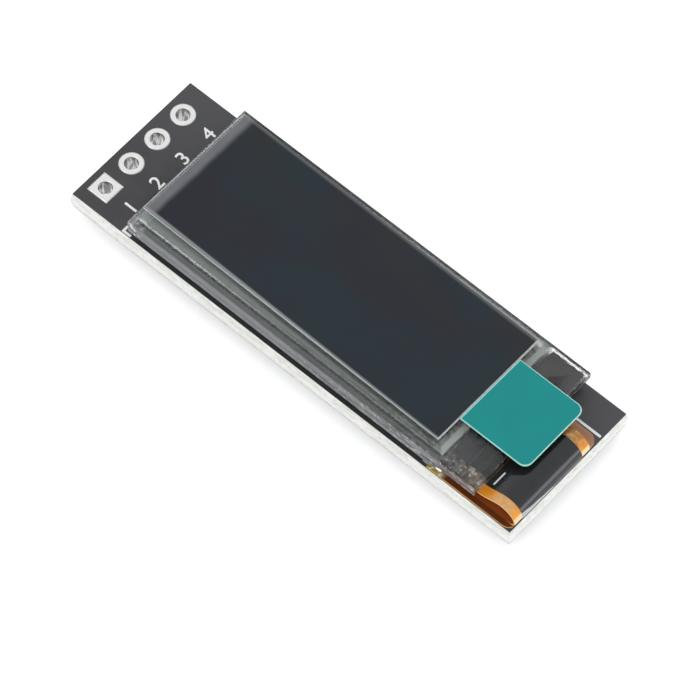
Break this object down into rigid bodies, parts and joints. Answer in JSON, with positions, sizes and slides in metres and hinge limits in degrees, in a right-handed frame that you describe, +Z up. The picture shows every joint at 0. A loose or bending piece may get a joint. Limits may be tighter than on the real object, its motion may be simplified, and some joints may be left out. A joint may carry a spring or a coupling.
{
  "type": "small oled module",
  "caption": "Narrow circuit board carrying a dark glass display panel with a teal pull tab, a folded amber flat cable and a row of plated pin holes at one end.",
  "frame": {"origin": "middle of the module's plan, on the surface that its back parts stand on", "axes": "+X along the board from the pin holes to the cable loop, +Y across the board away from the square pad, +Z up, out of the display's face"},
  "size_m": [0.0382, 0.0118, 0.0047],
  "materials": {
    "fibreglass": "rough broken edges of glass-fibre board, cream",
    "solder_mask": "semi-gloss black solder mask",
    "white_ink": "matt white printed ink",
    "tinned_pad": "bright tinned copper",
    "foam_tape": "matt white foam tape",
    "glass": "clear glass with a faint green edge",
    "drying_sheet": "matt light grey sheet",
    "seal": "cured clear adhesive, greenish grey",
    "emitter": "mirror-smooth dark layers",
    "polarizer": "dark neutral polarizing film",
    "clear_film": "thin clear film",
    "pull_tab": "satin teal film",
    "silicon": "polished silicon",
    "black_resin": "glossy black resin",
    "clear_resin": "crumpled clear resin",
    "bond_film": "dark bonding film",
    "flex": "amber polyimide film",
    "flex_cover": "glossy black cover film",
    "solder": "bright solder",
    "moulded_black": "matt black moulding compound",
    "capacitor": "tan ceramic body with tinned ends",
    "resistor": "black coated ceramic with tinned ends"
  },
  "bodies": {
    "root": {"board": "fibreglass", "solder_mask_top": "solder_mask", "solder_mask_bottom": "solder_mask", "silkscreen_top": "white_ink", "silkscreen_bottom": "white_ink", "pin_pad_1": "tinned_pad", "pin_pad_2": "tinned_pad", "pin_pad_3": "tinned_pad", "pin_pad_4": "tinned_pad", "mounting_tape": "foam_tape", "cap_glass": "glass", "drying_sheet": "drying_sheet", "seal_frame": "seal", "emitter_layers": "emitter", "front_glass": "glass", "polarizer": "polarizer", "protective_film": "clear_film", "pull_tab": "pull_tab", "driver_chip": "silicon", "chip_resin": "black_resin", "clear_resin": "clear_resin", "bond_film": "bond_film", "flex_cable": "flex", "flex_cover": "flex_cover", "flex_solder_joints": "solder", "regulator_body": "moulded_black", "regulator_leads": "tinned_pad", "back_solder_joints": "solder", "capacitor_large_1": "capacitor", "capacitor_large_2": "capacitor", "capacitor_large_3": "capacitor", "capacitor_large_4": "capacitor", "capacitor_small_1": "capacitor", "capacitor_small_2": "capacitor", "capacitor_small_3": "capacitor", "capacitor_small_4": "capacitor", "capacitor_small_5": "capacitor", "capacitor_small_6": "capacitor", "resistor_1": "resistor", "resistor_2": "resistor", "resistor_3": "resistor", "resistor_4": "resistor"}
  },
  "joints": []
}
